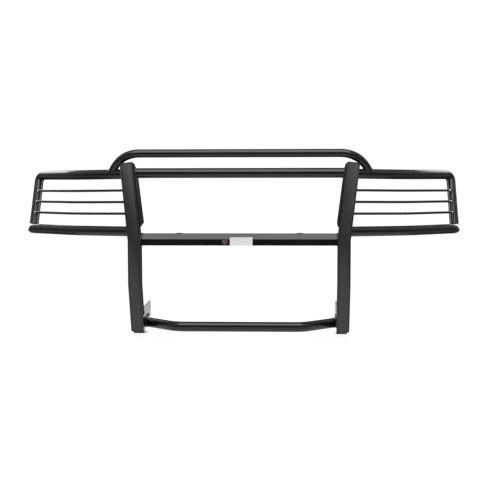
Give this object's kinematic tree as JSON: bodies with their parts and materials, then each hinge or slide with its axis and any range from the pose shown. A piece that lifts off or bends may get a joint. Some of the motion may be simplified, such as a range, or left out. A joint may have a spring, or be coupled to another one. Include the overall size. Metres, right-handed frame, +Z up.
{
  "type": "front grille guard",
  "caption": "Tubular front grille guard with padded risers, crossbars, a top hoop, slatted headlight wings and bolt-on frame brackets.",
  "frame": {"origin": "middle of the guard's bounding box in X and Y, level with the underside of its feet", "axes": "X across the vehicle, to the right seen from the front; +Y towards the rear of the vehicle; +Z up"},
  "size_m": [1.7406, 0.432, 0.7261],
  "materials": {
    "black_powder_coat": "satin to semi-gloss black powder coat",
    "pad_rubber": "matt moulded rubber",
    "zinc_plate": "dull zinc plating",
    "zinc_fasteners": "bright zinc plating",
    "black_plastic": "fine moulded grain",
    "badge_white": "smooth white label plate",
    "badge_dark": "dark red-grey button"
  },
  "bodies": {
    "root": {"riser_right": "black_powder_coat", "riser_left": "black_powder_coat", "side_plate_right": "black_powder_coat", "side_plate_left": "black_powder_coat", "foot_right": "black_powder_coat", "foot_left": "black_powder_coat", "bracket_tab_right": "black_powder_coat", "bracket_tab_left": "black_powder_coat", "riser_pad_right": "pad_rubber", "riser_pad_left": "pad_rubber", "top_crossbar": "black_powder_coat", "mid_crossbar": "black_powder_coat", "lower_crossbar": "black_powder_coat", "top_hoop": "black_powder_coat", "wing_top_tube_right": "black_powder_coat", "wing_top_tube_left": "black_powder_coat", "wing_bottom_tube_right": "black_powder_coat", "wing_bottom_tube_left": "black_powder_coat", "slat_upper_right": "black_powder_coat", "slat_upper_left": "black_powder_coat", "slat_middle_right": "black_powder_coat", "slat_middle_left": "black_powder_coat", "slat_lower_right": "black_powder_coat", "slat_lower_left": "black_powder_coat", "wing_end_caps": "black_plastic", "frame_bracket_right": "zinc_plate", "frame_bracket_left": "zinc_plate", "bracket_bolts": "zinc_fasteners", "bracket_washers": "zinc_fasteners", "bracket_nuts": "zinc_fasteners", "light_hole_plugs": "black_plastic", "badge_plate": "badge_white", "badge_button": "badge_dark"}
  },
  "joints": []
}
